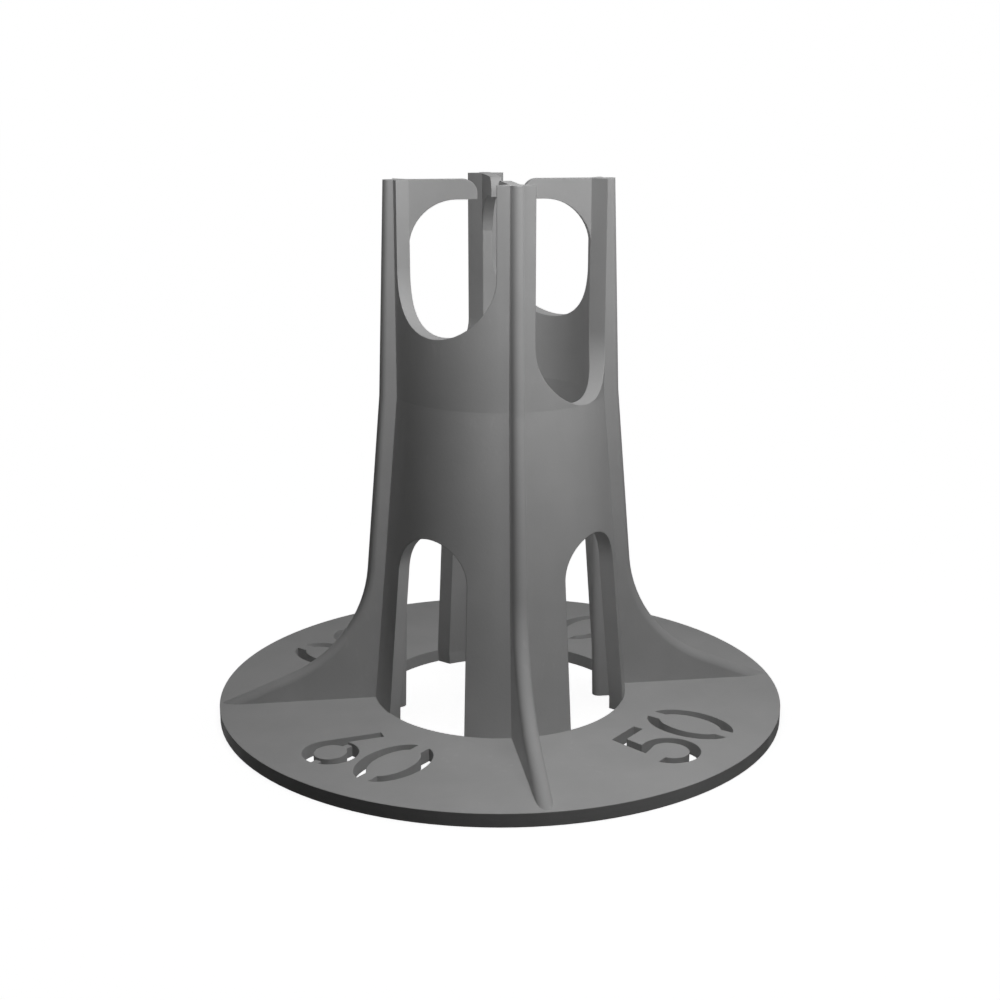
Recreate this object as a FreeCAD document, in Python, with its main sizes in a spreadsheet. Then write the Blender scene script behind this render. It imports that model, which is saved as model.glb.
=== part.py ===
"""Rebar chair: a one-piece moulded support that holds a reinforcing bar above the formwork.

Millimetres, +Z up, origin at the centre of the underside of the base. The lower bar channel runs
along X and the higher one along Y. Ribs, posts and arms stand on the diagonals between them.
"""
import FreeCAD
import Part
import math
import os
import Sketcher
from FreeCAD import Placement, Rotation, Vector

SIZES = (
    ("overall_height", 81.7, "underside of the base to the top of posts and arms"),
    ("base_radius", 44.1, "rim of the base plate"),
    ("base_thickness", 2.0, "base plate"),
    ("hole_radius", 19.8, "hole in the base, between the legs"),
    ("foot_radius", 19.9, "outside of the legs where they meet the base"),
    ("post_radius", 15.75, "outside of the posts, above the seam"),
    ("seam_height", 50.0, "where the leaning legs turn into upright posts"),
    ("wall", 2.3, "thickness of legs and posts"),
    ("low_seat_height", 50.0, "underside of a bar in the lower channel"),
    ("high_seat_height", 60.0, "underside of a bar in the higher channel"),
    ("channel_width", 18.0, "clear width of both channels, each with a half-round seat"),
    ("window_foot_width", 14.6, "window between two legs, at the underside"),
    ("window_arch_width", 12.9, "window where its half-round arch starts"),
    ("window_height", 30.77, "crown of the window's arch"),
    ("rib_top_reach", 1.45, "how far an outer rib stands out from a post at the top"),
    ("rib_seam_reach", 2.55, "how far an outer rib stands out from the tube at the seam"),
    ("rib_bend", 20.0, "radius in which the crest of a rib sweeps out to the rim"),
    ("rib_foot_angle", 21.8, "fall of the crest from the sweep to the rim, in degrees"),
    ("rib_toe_setback", 0.25, "from the end of a rib's crest out to the rim"),
    ("rib_toe_sink", 0.1, "how far that end lies under the base's top face"),
    ("rib_top_thickness", 1.76, "rib at the top"),
    ("rib_seam_thickness", 1.95, "rib at the seam"),
    ("rib_foot_thickness", 2.35, "rib from the start of the sweep to the rim"),
    ("plate_foot_reach", 2.55, "how far an inner plate stands in from a leg at the underside"),
    ("plate_seam_sink", 0.45, "how far an inner plate's edge lies inside the wall at the seam"),
    ("plate_thickness", 2.1, "inner plate"),
    ("arm_thickness", 1.6, "arm that reaches over the middle from a post"),
    ("arm_tip_radius", 3.45, "distance of an arm's tip from the centre line"),
    ("arm_depth", 2.9, "height of an arm at its tip"),
    ("arm_nose", 2.0, "rounding of an arm's upper tip corner"),
    ("arm_flat", 3.05, "level underside of an arm, from its tip to the haunch"),
    ("arm_haunch_sink", 0.1, "how far the haunch's lower end lies inside the wall"),
    ("numeral_radius", 31.65, "distance of the numbers' middle from the centre line"),
    ("numeral_height", 13.8, "height of the cover numbers"),
    ("numeral_stroke", 1.85, "width of the numbers' upright strokes"),
    ("thin_stroke", 1.62, "width of the level strokes of 5 and 6, and of the stem of the 6"),
    ("zero_width", 9.3, "figure 0"),
    ("zero_bridge", 1.95, "full-height webs that hold the middle of a 0"),
    ("six_bowl", 4.15, "outer radius of the bowl of a 6"),
    ("six_lean_angle", 32.7, "lean of the stem of a 6, in degrees"),
    ("six_web", 1.0, "width of the sunk web that holds the middle of a 6"),
    ("six_web_sink", 0.4, "how far that web lies under the base's top face"),
    ("five_bowl", 4.4, "outer radius of the bowl of a 5"),
    ("five_bar", 6.1, "length of the bar of a 5"),
    ("five_top_drop", 0.55, "how much lower the bar of a 5 is than the top of the 0"),
    ("five_lean_angle", 9.5, "lean of the stem of a 5, in degrees"),
    ("five_foot_out", 3.05, "foot of the stem of a 5, sideways from the middle of the bowl"),
    ("five_foot_rise", 2.35, "foot of the stem of a 5, above the middle of the bowl"),
    ("five_mouth_drop", 0.6, "end of the bowl of a 5, below the bowl's middle"),
    ("sixty_pitch", 9.65, "from the middle of the 6 to the middle of its 0"),
    ("sixty_shift", -0.1, "sideways place of the number 60 in its sector"),
    ("fifty_pitch", 9.9, "from the middle of the 5 to the middle of its 0"),
    ("fifty_shift", 0.4, "sideways place of the number 50 in its sector"),
)
RIB_COUNT = 4
FIRST_RIB_AZIMUTH = 45.0
FULL_TURN = 360.0
QUARTER_TURN = 90.0
COUNTER_CLOCKWISE = 1
CLOCKWISE = -1
VERTEX = {"start": 1, "end": 2, "centre": 3}
CUT_MARGIN = 1.0
UP = Vector(0, 0, 1)
ALONG_X = Vector(1, 0, 0)
ALONG_Y = Vector(0, 1, 0)

doc = FreeCAD.newDocument("rebar_chair")
sheet = doc.addObject("Spreadsheet::Sheet", "sizes")
for row, (alias, number, meaning) in enumerate(SIZES, start=1):
    sheet.set(f"A{row}", alias)
    sheet.set(f"B{row}", str(number))
    sheet.setAlias(f"B{row}", alias)
    sheet.set(f"C{row}", meaning)
doc.recompute()


def size(alias):
    """The number that the sheet holds under an alias."""
    return float(sheet.get(alias))


def value(formula):
    """A formula of sheet sizes as a number."""
    return float(sheet.evalExpression(formula))


def origin_item(body, role):
    """One of a body's own origin planes or axes, found by its role."""
    return next(item for item in body.Origin.OriginFeatures if item.Role == role)


def new_sketch(body, label, placement):
    """An empty sketch in the body, placed from the body's own XY plane."""
    sketch = body.newObject("Sketcher::SketchObject", label)
    sketch.AttachmentSupport = [(origin_item(body, "XY_Plane"), "")]
    sketch.MapMode = "FlatFace"
    sketch.AttachmentOffset = placement
    return sketch


def facing(point, x_axis, y_axis):
    """A placement at a point, with the given sketch directions."""
    return Placement(point, Rotation(x_axis, y_axis, x_axis.cross(y_axis), "ZXY"))


def radial(azimuth):
    """The level direction that points out from the centre line at an azimuth in degrees."""
    return Vector(math.cos(math.radians(azimuth)), math.sin(math.radians(azimuth)), 0)


def outline(sketch, corners):
    """Draw a closed outline whose corners are (x formula, y formula, arc).

    The third item shapes the edge that leaves the corner: None for a straight line, or
    (centre x formula, centre y formula, turn) for an arc, with turn COUNTER_CLOCKWISE or CLOCKWISE.
    """
    spots = [Vector(value(x), value(y), 0) for x, y, arc in corners]
    starts = [VERTEX["end"] if arc is not None and arc[2] == CLOCKWISE else VERTEX["start"]
              for x, y, arc in corners]
    for index, (x, y, arc) in enumerate(corners):
        start = spots[index]
        end = spots[(index + 1) % len(spots)]
        if arc is None:
            sketch.addGeometry(Part.LineSegment(start, end), False)
        elif arc[2] == CLOCKWISE:
            sketch.addGeometry(centred_arc(arc, end, start), False)
        else:
            sketch.addGeometry(centred_arc(arc, start, end), False)
    for index, (x, y, arc) in enumerate(corners):
        following = (index + 1) % len(corners)
        last = VERTEX["start"] + VERTEX["end"] - starts[index]
        ends = (index, last, following, starts[following])
        sketch.addConstraint(Sketcher.Constraint("Coincident", *ends))
        pin(sketch, "DistanceX", index, starts[index], x)
        pin(sketch, "DistanceY", index, starts[index], y)
        if arc is not None:
            chord = spots[following] - spots[index]
            if abs(chord.x) > abs(chord.y):
                pin(sketch, "DistanceY", index, VERTEX["centre"], arc[1])
            else:
                pin(sketch, "DistanceX", index, VERTEX["centre"], arc[0])


def centred_arc(arc, start, end):
    """The counter-clockwise arc from start to end about the arc's centre."""
    centre = Vector(value(arc[0]), value(arc[1]), 0)
    first = start - centre
    last = end - centre
    first_angle = math.atan2(first.y, first.x)
    last_angle = math.atan2(last.y, last.x)
    if last_angle <= first_angle:
        last_angle += 2 * math.pi
    return Part.ArcOfCircle(Part.Circle(centre, UP, first.Length), first_angle, last_angle)


def pin(sketch, kind, edge, vertex, formula):
    """Hold one coordinate of an edge's vertex to a formula of sheet sizes."""
    rule = sketch.addConstraint(Sketcher.Constraint(kind, -1, 1, edge, vertex, value(formula)))
    if "sizes." in formula:
        sketch.setExpression(f"Constraints[{rule}]", formula)


def turned(body, kind, label, sketch):
    """A revolution or groove of a sketch all round the sketch's own upright axis."""
    feature = body.newObject(kind, label)
    feature.Profile = sketch
    feature.ReferenceAxis = (sketch, ["V_Axis"])
    feature.Angle = FULL_TURN
    body.Tip = feature
    return feature


def round_the_axis(body, label, features, angle, copies):
    """Repeat features over an angle round the upright axis."""
    pattern = body.newObject("PartDesign::PolarPattern", label)
    pattern.Originals = features
    pattern.Axis = (origin_item(body, "Z_Axis"), [""])
    pattern.Angle = angle
    pattern.Occurrences = copies
    body.Tip = pattern
    return pattern


def rounded_section(body, label, placement, thickness, tail, crest="0"):
    """A plate's cross-section, full-round at its crest, which faces the sketch's +X."""
    sketch = new_sketch(body, label, placement)
    nose = f"{crest} - {thickness} / 2"
    end = f"{crest} - ({tail})"
    half = f"{thickness} / 2"
    outline(sketch, (
        (nose, f"-{half}", (nose, "0", COUNTER_CLOCKWISE)),
        (nose, half, None),
        (end, half, None),
        (end, f"-{half}", None),
    ))
    return sketch


def straight_run(body, label, first, last):
    """A plate that runs straight from one cross-section to the next."""
    loft = body.newObject("PartDesign::AdditiveLoft", label)
    loft.Profile = first
    loft.Sections = [last]
    loft.Ruled = True
    body.Tip = loft
    return loft


def cut_through(body, label, sketch):
    """Cut a sketch's outline right through the body, both ways."""
    pocket = body.newObject("PartDesign::Pocket", label)
    pocket.Profile = sketch
    pocket.Type = "ThroughAll"
    pocket.SideType = "Symmetric"
    body.Tip = pocket
    return pocket


def make_core(body):
    """The solid cone and cylinder that the legs and posts are hollowed from."""
    sketch = new_sketch(body, "core_outline", facing(Vector(), ALONG_X, UP))
    outline(sketch, (
        ("0", "0", None),
        ("sizes.foot_radius", "0", None),
        ("sizes.foot_radius", "sizes.base_thickness", None),
        ("sizes.post_radius", "sizes.seam_height", None),
        ("sizes.post_radius", "sizes.overall_height", None),
        ("0", "sizes.overall_height", None),
    ))
    turned(body, "PartDesign::Revolution", "core", sketch)


class RibPath:
    """The crest of a rib in its own upright plane, as (distance out, height) points."""

    def __init__(self):
        lean = value("(sizes.foot_radius - sizes.post_radius) / (sizes.seam_height - sizes.base_thickness)")
        fall = math.tan(math.radians(size("rib_foot_angle")))
        self.top = Vector(value("sizes.post_radius + sizes.rib_top_reach"), size("overall_height"), 0)
        self.seam = Vector(value("sizes.post_radius + sizes.rib_seam_reach"), size("seam_height"), 0)
        self.toe = Vector(value("sizes.base_radius - sizes.rib_toe_setback"),
                          value("sizes.base_thickness - sizes.rib_toe_sink"), 0)
        self.down_leg = Vector(lean, -1, 0).normalize()
        self.down_foot = Vector(1, -fall, 0).normalize()
        rise = self.seam.y - self.toe.y - fall * self.toe.x
        corner_out = (self.seam.x + lean * rise) / (1 - lean * fall)
        corner = Vector(corner_out, self.toe.y + fall * (self.toe.x - corner_out), 0)
        self.turn = math.degrees(self.down_leg.getAngle(self.down_foot))
        setback = size("rib_bend") * math.tan(math.radians(self.turn / 2))
        self.bend_start = corner - self.down_leg * setback
        self.bend_end = corner + self.down_foot * setback
        self.centre = self.bend_start + self.outward(self.down_leg) * size("rib_bend")

    @staticmethod
    def outward(direction):
        """The direction square to the crest, away from the chair."""
        return Vector(-direction.y, direction.x, 0)


def in_rib_plane(point):
    """A point or direction of the rib's upright plane, in the part's frame."""
    return radial(FIRST_RIB_AZIMUTH) * point.x + UP * point.y


def make_ribs(body):
    """Four outer ribs, thicker lower down, from the top of the posts to the rim of the base."""
    path = RibPath()
    out = radial(FIRST_RIB_AZIMUTH)
    across = UP.cross(out) * -1
    leg_out = in_rib_plane(path.outward(path.down_leg))
    foot_out = in_rib_plane(path.outward(path.down_foot))
    inner_corner = Vector(size("foot_radius"), value("sizes.base_thickness / 2"), 0)
    web = str((inner_corner - path.centre).Length - size("rib_bend"))

    top = rounded_section(body, "rib_top", facing(in_rib_plane(path.top), out, across),
                          "sizes.rib_top_thickness", "sizes.rib_top_reach + sizes.wall / 2")
    seam = rounded_section(body, "rib_seam", facing(in_rib_plane(path.seam), out, across),
                           "sizes.rib_seam_thickness", "sizes.rib_seam_reach + sizes.wall / 2")
    bend_start = rounded_section(body, "rib_bend_start",
                                 facing(in_rib_plane(path.bend_start), leg_out, across),
                                 "sizes.rib_foot_thickness", "sizes.rib_seam_reach + sizes.wall / 2")
    bend = rounded_section(body, "rib_bend_outline",
                           facing(in_rib_plane(path.centre), leg_out, across),
                           "sizes.rib_foot_thickness", web, "-sizes.rib_bend")
    bend_end = rounded_section(body, "rib_bend_end",
                               facing(in_rib_plane(path.bend_end), foot_out, across),
                               "sizes.rib_foot_thickness", web)
    toe = rounded_section(body, "rib_toe", facing(in_rib_plane(path.toe), foot_out, across),
                          "sizes.rib_foot_thickness", "sizes.base_thickness * 1.5")

    post_run = straight_run(body, "rib_along_post", top, seam)
    leg_run = straight_run(body, "rib_along_leg", seam, bend_start)
    sweep = turned(body, "PartDesign::Revolution", "rib_sweep", bend)
    sweep.Angle = path.turn
    foot_run = straight_run(body, "rib_along_foot", bend_end, toe)
    round_the_axis(body, "ribs", [post_run, leg_run, sweep, foot_run], FULL_TURN, RIB_COUNT)
    return value(web)


def hollow_out(body, overshoot):
    """The bore of the tube."""
    sketch = new_sketch(body, "bore_outline", facing(Vector(), ALONG_X, UP))
    inner_foot = "sizes.foot_radius - sizes.wall"
    inner_post = "sizes.post_radius - sizes.wall"
    above_top = f"sizes.overall_height + {CUT_MARGIN}"
    outline(sketch, (
        ("0", f"-{overshoot}", None),
        (inner_foot, f"-{overshoot}", None),
        (inner_foot, "sizes.base_thickness", None),
        (inner_post, "sizes.seam_height", None),
        (inner_post, above_top, None),
        ("0", above_top, None),
    ))
    turned(body, "PartDesign::Groove", "bore", sketch)


def cut_windows(body):
    """Four arched windows that leave the tube standing on four legs."""
    sketch = new_sketch(body, "window_outline", facing(Vector(), ALONG_X, UP))
    spring = "sizes.window_height - sizes.window_arch_width / 2"
    below = f"-{CUT_MARGIN}"
    outline(sketch, (
        ("-sizes.window_foot_width / 2", below, None),
        ("sizes.window_foot_width / 2", below, None),
        ("sizes.window_arch_width / 2", spring, ("0", spring, COUNTER_CLOCKWISE)),
        ("-sizes.window_arch_width / 2", spring, None),
    ))
    window = cut_through(body, "window_pair", sketch)
    round_the_axis(body, "windows", [window], QUARTER_TURN, 2)


def cut_channel(body, label, seat_height, across):
    """One bar channel, open at the top, with a half-round seat."""
    sketch = new_sketch(body, f"{label}_outline", facing(Vector(), across, UP))
    above_top = f"sizes.overall_height + {CUT_MARGIN}"
    centre = f"{seat_height} + sizes.channel_width / 2"
    outline(sketch, (
        ("-sizes.channel_width / 2", centre, ("0", centre, COUNTER_CLOCKWISE)),
        ("sizes.channel_width / 2", centre, None),
        ("sizes.channel_width / 2", above_top, None),
        ("-sizes.channel_width / 2", above_top, None),
    ))
    cut_through(body, label, sketch)


def make_base(body):
    """The round base plate, open in the middle."""
    sketch = new_sketch(body, "base_outline", facing(Vector(), ALONG_X, UP))
    outline(sketch, (
        ("sizes.hole_radius", "0", None),
        ("sizes.base_radius", "0", None),
        ("sizes.base_radius", "sizes.base_thickness", None),
        ("sizes.hole_radius", "sizes.base_thickness", None),
    ))
    turned(body, "PartDesign::Revolution", "base", sketch)


def make_inner_plates(body):
    """Four plates inside the legs, their edges running up into the wall of the tube."""
    foot = Vector(value("sizes.foot_radius - sizes.wall - sizes.plate_foot_reach"), 0, 0)
    seam = Vector(value("sizes.post_radius - sizes.wall + sizes.plate_seam_sink"),
                  size("seam_height"), 0)
    rise = (seam - foot).normalize()
    start = foot - rise * CUT_MARGIN
    inwards = in_rib_plane(Vector(-rise.y, rise.x, 0))
    across = in_rib_plane(rise).cross(inwards)
    lower = rounded_section(body, "plate_foot", facing(in_rib_plane(start), inwards, across),
                            "sizes.plate_thickness", "sizes.plate_foot_reach + sizes.wall / 2")
    upper = rounded_section(body, "plate_seam", facing(in_rib_plane(seam), inwards, across),
                            "sizes.plate_thickness", "sizes.wall * 2 / 3")
    plate = straight_run(body, "plate", lower, upper)
    round_the_axis(body, "plates", [plate], FULL_TURN, RIB_COUNT)


def make_arms(body):
    """Four arms that reach from the posts over the middle."""
    sketch = new_sketch(body, "arm_outline", facing(Vector(), radial(FIRST_RIB_AZIMUTH), UP))
    under = "sizes.overall_height - sizes.arm_depth"
    haunch_start = "sizes.arm_tip_radius + sizes.arm_flat"
    haunch_foot = "sizes.post_radius - sizes.wall + sizes.arm_haunch_sink"
    haunch_end = f"{under} - ({haunch_foot} - sizes.arm_tip_radius - sizes.arm_flat)"
    nose_end = "sizes.arm_tip_radius + sizes.arm_nose"
    nose_start = "sizes.overall_height - sizes.arm_nose"
    outline(sketch, (
        ("sizes.arm_tip_radius", under, None),
        (haunch_start, under, (haunch_start, haunch_end, CLOCKWISE)),
        (haunch_foot, haunch_end, None),
        ("sizes.post_radius - sizes.wall / 2", haunch_end, None),
        ("sizes.post_radius - sizes.wall / 2", "sizes.overall_height", None),
        (nose_end, "sizes.overall_height", (nose_end, nose_start, COUNTER_CLOCKWISE)),
        ("sizes.arm_tip_radius", nose_start, None),
    ))
    arm = body.newObject("PartDesign::Pad", "arm")
    arm.Profile = sketch
    arm.SideType = "Symmetric"
    arm.setExpression("Length", "sizes.arm_thickness")
    body.Tip = arm
    round_the_axis(body, "arms", [arm], FULL_TURN, RIB_COUNT)


def level_underside(body):
    """Cut everything off level with the underside of the base."""
    sketch = new_sketch(body, "underside_outline", Placement())
    far = f"sizes.base_radius + {CUT_MARGIN}"
    outline(sketch, (
        (f"-({far})", f"-({far})", None),
        (far, f"-({far})", None),
        (far, far, None),
        (f"-({far})", far, None),
    ))
    trim = body.newObject("PartDesign::Pocket", "underside")
    trim.Profile = sketch
    trim.Type = "ThroughAll"
    body.Tip = trim


def upright_prism(wire):
    """A cutting tool that stands on a flat outline and passes through the base."""
    deep = UP * (size("base_thickness") + 2 * CUT_MARGIN)
    face = Part.Face(wire)
    face.translate(UP * -CUT_MARGIN)
    return face.extrude(deep)


def polygon_prism(points):
    """A cutting tool with straight sides."""
    return upright_prism(Part.makePolygon([Vector(x, y, 0) for x, y in points + points[:1]]))


def ellipse_prism(half_width, half_height):
    """An upright oval cutting tool."""
    minor, major = sorted([ALONG_X * half_width, ALONG_Y * half_height], key=lambda axis: axis.Length)
    oval = Part.Ellipse(major, minor, Vector())
    return upright_prism(Part.Wire(oval.toShape()))


def bowl_prism(radius, centre):
    """A bowl, round outside, its stroke thinner above and below than at the sides."""
    outer = upright_prism(Part.Wire(Part.Circle(centre, UP, radius).toShape()))
    inner = ellipse_prism(radius - size("numeral_stroke"), radius - size("thin_stroke"))
    inner.translate(centre)
    return outer.cut(inner)


def centred_box(width, height, top):
    """A box about the figure's middle, from under the base up to a height."""
    corner = Vector(-width / 2, -height / 2, -CUT_MARGIN)
    return Part.makeBox(width, height, top + CUT_MARGIN, corner)


def figure_zero():
    """A stencilled 0: two halves with a full-height web above and below."""
    half_width = size("zero_width") / 2
    half_height = size("numeral_height") / 2
    stroke = size("numeral_stroke")
    oval = ellipse_prism(half_width, half_height)
    middle = ellipse_prism(half_width - stroke, half_height - stroke)
    web = centred_box(size("zero_bridge"), 2 * size("numeral_height"),
                      size("base_thickness") + CUT_MARGIN)
    return oval.cut(middle).cut(web)


def figure_six():
    """A 6: a round bowl and a leaning stem, its middle held by a web sunk under the top face."""
    bowl = size("six_bowl")
    stroke = size("thin_stroke")
    top = size("numeral_height") / 2
    centre = Vector(0, bowl - top, 0)
    lean = math.radians(size("six_lean_angle"))
    along = Vector(math.sin(lean), math.cos(lean), 0)
    inwards = Vector(along.y, -along.x, 0)
    foot = centre - inwards * bowl
    head = foot + along * ((top - foot.y) / along.y)
    corners = (foot, head, head + inwards * stroke, foot + inwards * stroke)
    stem = polygon_prism([(corner.x, corner.y) for corner in corners])
    web = centred_box(size("six_web"), 2 * bowl, size("base_thickness") - size("six_web_sink"))
    web.translate(centre)
    return bowl_prism(bowl, centre).cut(web).fuse(stem)


def figure_five():
    """A 5: a bar, a leaning stem and an open round bowl."""
    bowl = size("five_bowl")
    stroke = size("numeral_stroke")
    level_stroke = size("thin_stroke")
    top = size("numeral_height") / 2
    bar_top = top - size("five_top_drop")
    centre = Vector(0, bowl - top, 0)
    foot = centre + Vector(-size("five_foot_out"), size("five_foot_rise"), 0)
    crest = centre + Vector(0, bowl - level_stroke, 0)
    sill = foot + (crest - foot) * (stroke / (crest.x - foot.x))
    head = foot.x + math.tan(math.radians(size("five_lean_angle"))) * (bar_top - foot.y)
    mouth_end = centre.y - size("five_mouth_drop")
    mouth = polygon_prism([
        (crest.x, crest.y),
        (foot.x, foot.y),
        (head, bar_top),
        (-2 * bowl, bar_top),
        (-2 * bowl, mouth_end),
        (crest.x, mouth_end),
    ])
    stem = polygon_prism([
        (foot.x, foot.y),
        (sill.x, sill.y),
        (head + stroke, bar_top),
        (head, bar_top),
    ])
    bar = polygon_prism([
        (head, bar_top),
        (head, bar_top - level_stroke),
        (head + size("five_bar"), bar_top - level_stroke),
        (head + size("five_bar"), bar_top),
    ])
    return bowl_prism(bowl, centre).cut(mouth).fuse(stem).fuse(bar)


def cover_number(first_figure, pitch, shift, azimuth):
    """A two-figure number in one sector of the base, its top towards the centre line."""
    out = radial(azimuth)
    spot = facing(out * size("numeral_radius"), UP.cross(out), out * -1)
    first = first_figure
    first.translate(ALONG_X * (shift - pitch / 2))
    second = figure_zero()
    second.translate(ALONG_X * (shift + pitch / 2))
    number = Part.makeCompound([first, second])
    number.Placement = spot
    return number


def make_numbers():
    """The stencil tools for the cover numbers: each gives the seat height of the channel above it."""
    numbers = []
    for half_turn in (0.0, 180.0):
        numbers.append(cover_number(figure_five(), size("fifty_pitch"), size("fifty_shift"), half_turn))
        numbers.append(cover_number(figure_six(), size("sixty_pitch"), size("sixty_shift"),
                                    half_turn - QUARTER_TURN))
    stencil = doc.addObject("Part::Feature", "cover_numbers")
    stencil.Shape = Part.makeCompound(numbers)
    return stencil


def make_chair():
    """The whole moulding."""
    moulding = doc.addObject("PartDesign::Body", "moulding")
    make_core(moulding)
    overshoot = make_ribs(moulding)
    hollow_out(moulding, overshoot)
    cut_windows(moulding)
    cut_channel(moulding, "high_channel", "sizes.high_seat_height", ALONG_X)
    cut_channel(moulding, "low_channel", "sizes.low_seat_height", ALONG_Y)
    make_base(moulding)
    make_inner_plates(moulding)
    make_arms(moulding)
    level_underside(moulding)
    doc.recompute()
    chair = doc.addObject("Part::Cut", "chair")
    chair.Base = moulding
    chair.Tool = make_numbers()
    chair.Label = "rebar_chair"
    chair.Placement = Placement()
    return chair


def check_document():
    """Stop if any feature failed, or a shape is empty or broken."""
    for item in doc.Objects:
        if "Invalid" in item.State or "Error" in item.State:
            raise RuntimeError(f"{item.Label} failed: {item.State}")


def write_step(item):
    """Check one finished piece and write it under its own label."""
    if item.Shape.isNull() or not item.Shape.isValid():
        raise RuntimeError(f"{item.Label} has a broken shape")
    item.Shape.exportStep(f"parts/{item.Label}.step")
    box = item.Shape.BoundBox
    print(f"{item.Label}: {len(item.Shape.Solids)} solid, volume {item.Shape.Volume:.1f} mm3, "
          f"box {box.XLength:.2f} x {box.YLength:.2f} x {box.ZLength:.2f} mm")


rebar_chair = make_chair()
doc.recompute()
check_document()
os.makedirs("parts", exist_ok=True)
write_step(rebar_chair)
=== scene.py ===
"""The rebar chair dressed for a photograph: satin grey moulded plastic on a plain pale floor.

Metres, +Z up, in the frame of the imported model. The camera stands where the photograph was taken.
"""
import math

import bpy
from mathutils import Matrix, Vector

CAMERA_PLACE = Vector((0.13695, -0.18405, 0.0953))
CAMERA_TARGET = Vector((0.0, 0.0, 0.0330))
SENSOR_WIDTH = 36.0
FOCAL_LENGTH = 55.40
NEAR_CLIP = 0.005

WHITE = (1.0, 1.0, 1.0, 1.0)

# moulded plastic: greys and gloss
GREY = 0.42
GREY_MOTTLE = 0.016
GREY_WORN = 0.50
SPECULAR_LEVEL = 0.12
ROUGHNESS = 0.72
ROUGHNESS_SPREAD = 0.08

# sizes of its surface marks, and how far two of them are drawn out across and along Z
GRAIN_SIZE = 0.00050
GRAIN_DEPTH = 0.000016
FLOW_SIZE = 0.004
FLOW_STRETCH = (1.0, 1.0, 0.15)
MOTTLE_SIZE = 0.009
SCUFF_SIZE = 0.0011
SCUFF_STRETCH = (1.0, 1.0, 0.35)

# the part of a noise's range that is used, from where a mark starts to where it is full
NOISE_RANGE = (0.3, 0.7)
SCUFF_MARK_RANGE = (0.60, 0.72)
SCUFF_PLACE_RANGE = (0.52, 0.66)
WEAR_RANGE = (0.42, 0.60)

# edges: how rounded they look, how far the surface turns there, and how much they are worn
EDGE_ROUNDING = 0.00018
EDGE_SAMPLES = 4
EDGE_RANGE = (0.99, 0.85)
EDGE_WEAR = (0.15, 0.8)
SCUFF_STRENGTH = 0.35
MARK_SINK = 0.5

FLOOR_SIZE = 6.0
FLOOR_BOUNCE = 0.06
FLOOR_SHADE = 0.12
SHADE_SPREAD = 60.0

AMBIENT = 0.024

# name, place, radius, watts, whether it shows in gloss
# the last two only lift the sides that the camera doesn't see
LAMPS = (
    ("key", (0.055, 0.002, 0.152), 0.02, 0.268, True),
    ("fill", (0.016, -0.055, 0.107), 0.02, 0.040, True),
    ("low", (0.067, -0.031, 0.064), 0.02, 0.047, True),
    ("back", (-0.200, 0.270, 0.012), 0.05, 1.1, False),
    ("side", (-0.280, 0.130, 0.012), 0.05, 0.35, False),
)


def new_object(name, data):
    """An object in the scene that holds the given data."""
    thing = bpy.data.objects.new(name, data)
    bpy.context.scene.collection.objects.link(thing)
    return thing


def make_camera():
    """The camera at the photograph's place."""
    camera = new_object("camera", bpy.data.cameras.new("camera"))
    camera.data.sensor_width = SENSOR_WIDTH
    camera.data.lens = FOCAL_LENGTH
    camera.data.clip_start = NEAR_CLIP
    camera.location = CAMERA_PLACE
    camera.rotation_mode = "QUATERNION"
    camera.rotation_quaternion = (CAMERA_TARGET - CAMERA_PLACE).to_track_quat("-Z", "Y")
    bpy.context.scene.camera = camera


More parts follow.
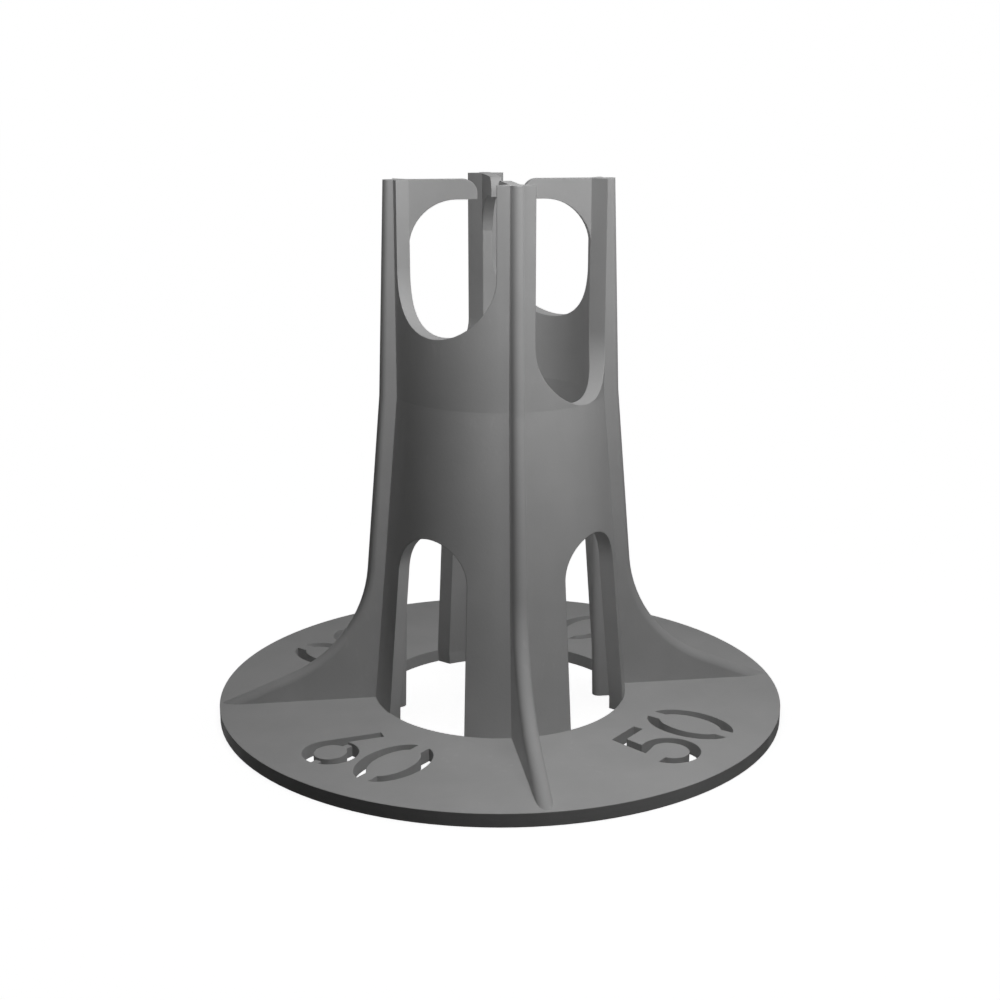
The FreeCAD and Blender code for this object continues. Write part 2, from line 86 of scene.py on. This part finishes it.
class Shading:
    """Small helpers for one node tree."""

    def __init__(self, tree):
        self.nodes = tree.nodes
        self.links = tree.links

    def put(self, source, socket):
        """Feed a socket from another node's output, or set it to a plain value."""
        if isinstance(source, bpy.types.NodeSocket):
            self.links.new(source, socket)
        else:
            socket.default_value = source

    def math(self, operation, first, second):
        """One arithmetic step."""
        node = self.nodes.new("ShaderNodeMath")
        node.operation = operation
        self.put(first, node.inputs[0])
        self.put(second, node.inputs[1])
        return node.outputs[0]

    def spread(self, source, old, new):
        """A value carried from the old range to the new one, and held inside it."""
        node = self.nodes.new("ShaderNodeMapRange")
        self.put(source, node.inputs["Value"])
        for names, ends in ((("From Min", "From Max"), old), (("To Min", "To Max"), new)):
            for name, end in zip(names, ends):
                self.put(end, node.inputs[name])
        return node.outputs["Result"]

    def noise(self, place, size, detail, stretch=(1.0, 1.0, 1.0)):
        """Noise from 0 to 1 whose marks are about the given size, in metres."""
        mapping = self.nodes.new("ShaderNodeMapping")
        self.put(place, mapping.inputs["Vector"])
        mapping.inputs["Scale"].default_value = [share / size for share in stretch]
        node = self.nodes.new("ShaderNodeTexNoise")
        self.put(mapping.outputs["Vector"], node.inputs["Vector"])
        node.inputs["Scale"].default_value = 1.0
        node.inputs["Detail"].default_value = detail
        return node.outputs["Fac"]

    def rounded_normal(self, radius):
        """The surface's direction with every edge rounded by the given radius."""
        node = self.nodes.new("ShaderNodeBevel")
        node.samples = EDGE_SAMPLES
        node.inputs["Radius"].default_value = radius
        return node.outputs["Normal"]

    def likeness(self, first, second):
        """1 where two directions are the same, and less where they part."""
        node = self.nodes.new("ShaderNodeVectorMath")
        node.operation = "DOT_PRODUCT"
        self.links.new(first, node.inputs[0])
        self.links.new(second, node.inputs[1])
        return node.outputs["Value"]

    def grey(self, level):
        """A grey colour from a level."""
        node = self.nodes.new("ShaderNodeCombineColor")
        for channel in ("Red", "Green", "Blue"):
            self.put(level, node.inputs[channel])
        return node.outputs["Color"]

    def glow(self, kind, strength):
        """White light from an Emission or Background node, at a strength where 1 is white."""
        node = self.nodes.new(kind)
        node.inputs["Color"].default_value = WHITE
        node.inputs["Strength"].default_value = strength
        return node.outputs[0]

    def diffuse(self, level):
        """A matt grey surface."""
        node = self.nodes.new("ShaderNodeBsdfDiffuse")
        node.inputs["Color"].default_value = (level, level, level, 1.0)
        return node.outputs[0]

    def seen_directly(self):
        """1 for rays from the camera and for those in gloss and glass, 0 for the rest."""
        path = self.nodes.new("ShaderNodeLightPath")
        seen = self.math("MAXIMUM", path.outputs["Is Camera Ray"], path.outputs["Is Glossy Ray"])
        return self.math("MAXIMUM", seen, path.outputs["Is Transmission Ray"])

    def choose(self, factor, usual, direct):
        """One shader for most rays and another for those that are seen directly."""
        node = self.nodes.new("ShaderNodeMixShader")
        self.put(factor, node.inputs["Fac"])
        self.links.new(usual, node.inputs[1])
        self.links.new(direct, node.inputs[2])
        return node.outputs[0]


def around(middle, reach):
    """The range that reaches equally far to both sides of a value."""
    return middle - reach, middle + reach


def make_plastic():
    """Satin grey plastic as moulded: fine grain, soft flow marks, small scuffs, paler worn edges."""
    material = bpy.data.materials.new("grey_plastic")
    material.use_nodes = True
    kit = Shading(material.node_tree)
    surface = kit.nodes["Principled BSDF"]
    surface.inputs["Specular IOR Level"].default_value = SPECULAR_LEVEL
    place = kit.nodes.new("ShaderNodeTexCoord").outputs["Object"]
    true_normal = kit.nodes.new("ShaderNodeNewGeometry").outputs["Normal"]
    rounded = kit.rounded_normal(EDGE_ROUNDING)

    grain = kit.noise(place, GRAIN_SIZE, detail=3.0)
    flow = kit.noise(place, FLOW_SIZE, detail=2.0, stretch=FLOW_STRETCH)
    mottle = kit.noise(place, MOTTLE_SIZE, detail=3.0)
    scuff_marks = kit.noise(place, SCUFF_SIZE, detail=4.0, stretch=SCUFF_STRETCH)
    scuff_places = kit.noise(place, MOTTLE_SIZE, detail=1.0)
    scuffs = kit.math("MULTIPLY", kit.spread(scuff_marks, SCUFF_MARK_RANGE, (0.0, 1.0)),
                      kit.spread(scuff_places, SCUFF_PLACE_RANGE, (0.0, 1.0)))

    edge = kit.spread(kit.likeness(rounded, true_normal), EDGE_RANGE, (0.0, 1.0))
    worn = kit.math("MULTIPLY", edge, kit.spread(scuff_marks, WEAR_RANGE, EDGE_WEAR))
    marks = kit.math("MAXIMUM", worn, kit.math("MULTIPLY", scuffs, SCUFF_STRENGTH))

    tone = kit.math("ADD", kit.spread(mottle, NOISE_RANGE, around(GREY, GREY_MOTTLE)),
                    kit.spread(flow, NOISE_RANGE, around(0.0, GREY_MOTTLE / 2)))
    level = kit.math("ADD", tone, kit.math("MULTIPLY", marks, GREY_WORN - GREY))
    kit.put(kit.grey(level), surface.inputs["Base Color"])

    satin = kit.spread(flow, NOISE_RANGE, around(ROUGHNESS, ROUGHNESS_SPREAD))
    kit.put(kit.math("ADD", satin, kit.math("MULTIPLY", marks, ROUGHNESS_SPREAD)),
            surface.inputs["Roughness"])

    relief = kit.nodes.new("ShaderNodeBump")
    relief.inputs["Strength"].default_value = 1.0
    relief.inputs["Distance"].default_value = GRAIN_DEPTH
    height = kit.math("SUBTRACT", grain, kit.math("MULTIPLY", marks, MARK_SINK))
    kit.put(height, relief.inputs["Height"])
    kit.put(rounded, relief.inputs["Normal"])
    kit.put(relief.outputs["Normal"], surface.inputs["Normal"])
    return material


def make_floor():
    """A plain white floor that keeps a light soft shadow."""
    bpy.ops.mesh.primitive_plane_add(size=FLOOR_SIZE)
    floor = bpy.context.object
    floor.name = "floor"
    material = bpy.data.materials.new("floor_white")
    material.use_nodes = True
    kit = Shading(material.node_tree)
    kit.nodes.clear()
    output = kit.nodes.new("ShaderNodeOutputMaterial")
    shown = kit.nodes.new("ShaderNodeAddShader")
    kit.links.new(kit.glow("ShaderNodeEmission", 1.0 - AMBIENT - FLOOR_SHADE), shown.inputs[0])
    kit.links.new(kit.diffuse(1.0), shown.inputs[1])
    kit.links.new(kit.choose(kit.seen_directly(), kit.diffuse(FLOOR_BOUNCE), shown.outputs[0]),
                  output.inputs["Surface"])
    floor.data.materials.append(material)
    return floor


def make_world():
    """A white background and a soft light from all round."""
    world = bpy.data.worlds.new("studio")
    bpy.context.scene.world = world
    world.use_nodes = True
    kit = Shading(world.node_tree)
    kit.nodes.clear()
    output = kit.nodes.new("ShaderNodeOutputWorld")
    soft = kit.glow("ShaderNodeBackground", AMBIENT)
    shown = kit.glow("ShaderNodeBackground", 1.0)
    kit.links.new(kit.choose(kit.seen_directly(), soft, shown), output.inputs["Surface"])


def light_only(lamp, lit):
    """Let a lamp light one object alone."""
    receivers = bpy.data.collections.new(f"lit_by_{lamp.name}")
    receivers.objects.link(lit)
    lamp.light_linking.receiver_collection = receivers


def make_chair_lamps(chair):
    """Round soft lamps, with no shadow because the photograph shows none on the chair."""
    for name, place, radius, power, in_gloss in LAMPS:
        light = bpy.data.lights.new(name, "POINT")
        light.shadow_soft_size = radius
        light.energy = power
        light.use_shadow = False
        lamp = new_object(name, light)
        lamp.location = place
        lamp.visible_camera = False
        lamp.visible_glossy = in_gloss
        light_only(lamp, chair)


def make_floor_lamp(floor):
    """A wide even light from above that gives the chair's shadow on the floor."""
    light = bpy.data.lights.new("overhead", "SUN")
    light.energy = math.pi * FLOOR_SHADE
    light.angle = math.radians(SHADE_SPREAD)
    light_only(new_object("overhead", light), floor)


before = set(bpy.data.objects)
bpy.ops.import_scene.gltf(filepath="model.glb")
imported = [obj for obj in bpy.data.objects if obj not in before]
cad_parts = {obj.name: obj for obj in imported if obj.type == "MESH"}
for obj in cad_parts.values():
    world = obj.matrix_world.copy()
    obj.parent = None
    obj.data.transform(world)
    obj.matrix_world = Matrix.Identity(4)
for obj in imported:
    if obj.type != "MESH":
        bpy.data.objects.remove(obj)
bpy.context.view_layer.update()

bpy.context.scene.view_settings.view_transform = "Standard"
make_camera()
make_world()
make_floor_lamp(make_floor())

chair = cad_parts["rebar_chair"]
make_chair_lamps(chair)
chair.data.materials.clear()
chair.data.materials.append(make_plastic())
